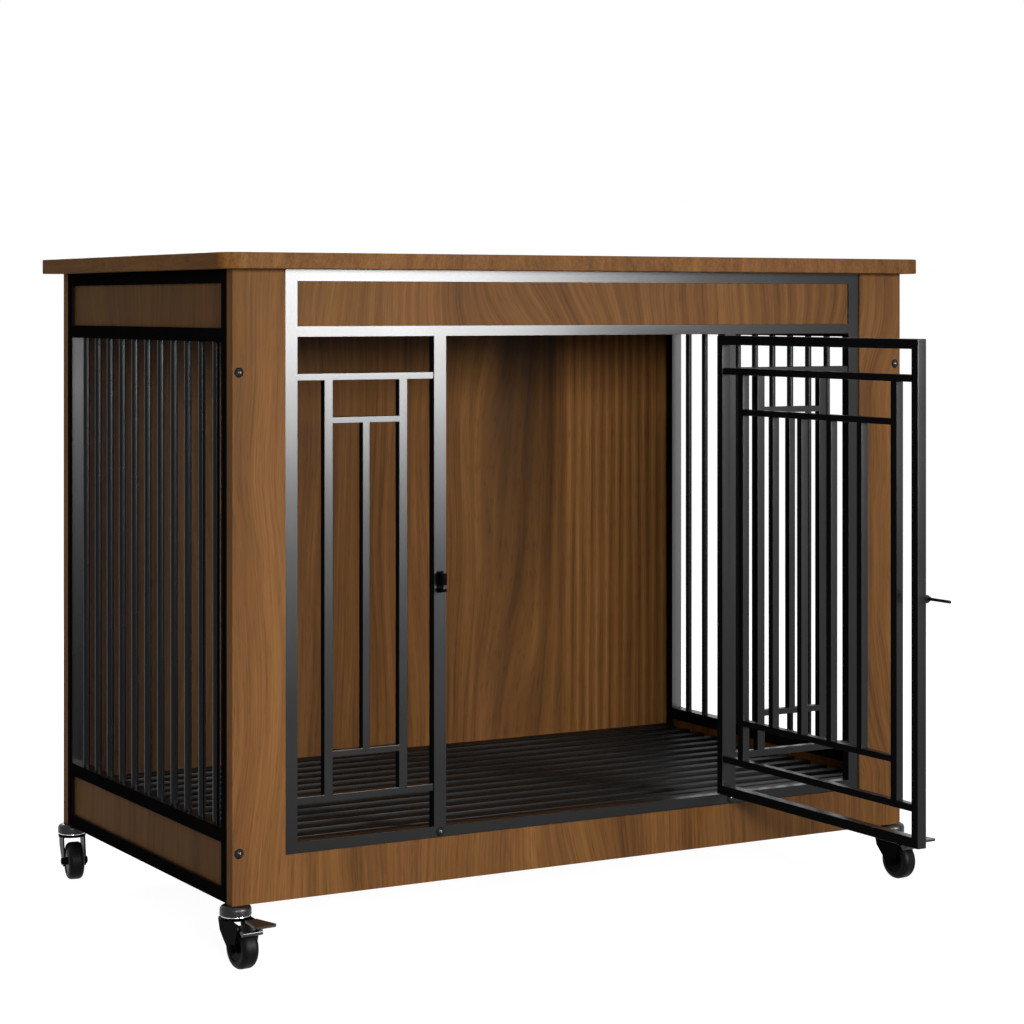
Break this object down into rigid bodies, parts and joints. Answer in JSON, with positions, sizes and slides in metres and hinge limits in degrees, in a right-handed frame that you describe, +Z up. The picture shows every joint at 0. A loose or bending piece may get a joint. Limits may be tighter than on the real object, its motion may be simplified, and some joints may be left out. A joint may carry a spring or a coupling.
{
  "type": "furniture-style dog crate",
  "caption": "Wood-and-steel dog crate for family pets: wooden top, front and back, steel rod sides, slatted floor, side-hung barred door with a sliding bolt, swivel casters.",
  "frame": {"origin": "bottom centre of the bounding box with the door open, on the floor under the wheels", "axes": "+X towards the hinge side of the doorway, +Y from the front to the back, +Z up"},
  "size_m": [1.116, 1.1222, 0.9092],
  "materials": {
    "wood": "satin walnut-coloured laminate, grain upright on the panels",
    "black_steel": "satin black powder coat",
    "bright_steel": "bright zinc plate",
    "caster_plastic": "glossy black",
    "tyre": "smooth black tread"
  },
  "bodies": {
    "cabinet": {"top_board": "wood", "front_panel": "wood", "back_panel": "wood", "front_frame": "black_steel", "front_apron": "wood", "left_grille": "black_steel", "right_grille": "black_steel", "hinge_barrels": "black_steel", "hinge_pins": "bright_steel", "latch_keeper": "black_steel", "grille_bolts": "black_steel", "panel_bolts": "black_steel", "left_side_frame": "black_steel", "left_rods": "black_steel", "left_upper_infill": "wood", "left_lower_infill": "wood", "right_side_frame": "black_steel", "right_rods": "black_steel", "right_upper_infill": "wood", "right_lower_infill": "wood", "floor_ledges": "black_steel", "floor_frame": "black_steel", "floor_slats": "black_steel", "stem_inserts": "bright_steel", "caster_fl_stem": "black_steel", "caster_fl_race": "bright_steel", "caster_fr_stem": "black_steel", "caster_fr_race": "bright_steel", "caster_bl_stem": "black_steel", "caster_bl_race": "bright_steel", "caster_br_stem": "black_steel", "caster_br_race": "bright_steel"},
    "door": {"door_frame": "black_steel", "door_grille": "black_steel", "hinge_knuckles": "black_steel", "latch_guide": "black_steel"},
    "latch": {"latch_bolt": "black_steel"},
    "swivel_fl": {"caster_fl_fork": "black_steel", "caster_fl_axle": "bright_steel"},
    "wheel_fl": {"caster_fl_hub": "caster_plastic", "caster_fl_tyre": "tyre"},
    "pedal_fl": {"caster_fl_pedal": "caster_plastic"},
    "swivel_fr": {"caster_fr_fork": "black_steel", "caster_fr_axle": "bright_steel"},
    "wheel_fr": {"caster_fr_hub": "caster_plastic", "caster_fr_tyre": "tyre"},
    "pedal_fr": {"caster_fr_pedal": "caster_plastic"},
    "swivel_bl": {"caster_bl_fork": "black_steel", "caster_bl_axle": "bright_steel"},
    "wheel_bl": {"caster_bl_hub": "caster_plastic", "caster_bl_tyre": "tyre"},
    "swivel_br": {"caster_br_fork": "black_steel", "caster_br_axle": "bright_steel"},
    "wheel_br": {"caster_br_hub": "caster_plastic", "caster_br_tyre": "tyre"}
  },
  "joints": [
    {"name": "door_hinge", "type": "hinge", "parent": "cabinet", "child": "door", "pos_m": [0.2215, -0.07771, 0.4682], "axis": [0, 0, 1], "range_deg": [-90.8, 9.2]},
    {"name": "latch_slide", "type": "slide", "parent": "door", "child": "latch", "axis": [-0.014, 0.9999, 0], "range_m": [0, 0.036]},
    {"name": "swivel_fl_turn", "type": "hinge", "parent": "cabinet", "child": "swivel_fl", "pos_m": [-0.525, -0.07161, 0.06], "axis": [0, 0, 1], "continuous": true},
    {"name": "wheel_fl_spin", "type": "hinge", "parent": "swivel_fl", "child": "wheel_fl", "pos_m": [-0.52343, -0.08954, 0.027], "axis": [0.9962, 0.0872, 0], "continuous": true},
    {"name": "brake_fl_press", "type": "hinge", "parent": "swivel_fl", "child": "pedal_fl", "pos_m": [-0.52186, -0.10749, 0.05583], "axis": [0.9962, 0.0872, 0], "range_deg": [0, 15]},
    {"name": "swivel_fr_turn", "type": "hinge", "parent": "cabinet", "child": "swivel_fr", "pos_m": [0.525, -0.07161, 0.06], "axis": [0, 0, 1], "continuous": true},
    {"name": "wheel_fr_spin", "type": "hinge", "parent": "swivel_fr", "child": "wheel_fr", "pos_m": [0.52657, -0.08954, 0.027], "axis": [0.9962, 0.0872, 0], "continuous": true},
    {"name": "brake_fr_press", "type": "hinge", "parent": "swivel_fr", "child": "pedal_fr", "pos_m": [0.52814, -0.10749, 0.05583], "axis": [0.9962, 0.0872, 0], "range_deg": [0, 15]},
    {"name": "swivel_bl_turn", "type": "hinge", "parent": "cabinet", "child": "swivel_bl", "pos_m": [-0.525, 0.52479, 0.06], "axis": [0, 0, 1], "continuous": true},
    {"name": "wheel_bl_spin", "type": "hinge", "parent": "swivel_bl", "child": "wheel_bl", "pos_m": [-0.52813, 0.50706, 0.027], "axis": [0.9848, -0.1736, 0], "continuous": true},
    {"name": "swivel_br_turn", "type": "hinge", "parent": "cabinet", "child": "swivel_br", "pos_m": [0.525, 0.52479, 0.06], "axis": [0, 0, 1], "continuous": true},
    {"name": "wheel_br_spin", "type": "hinge", "parent": "swivel_br", "child": "wheel_br", "pos_m": [0.525, 0.50679, 0.027], "axis": [1, 0, 0], "continuous": true}
  ]
}
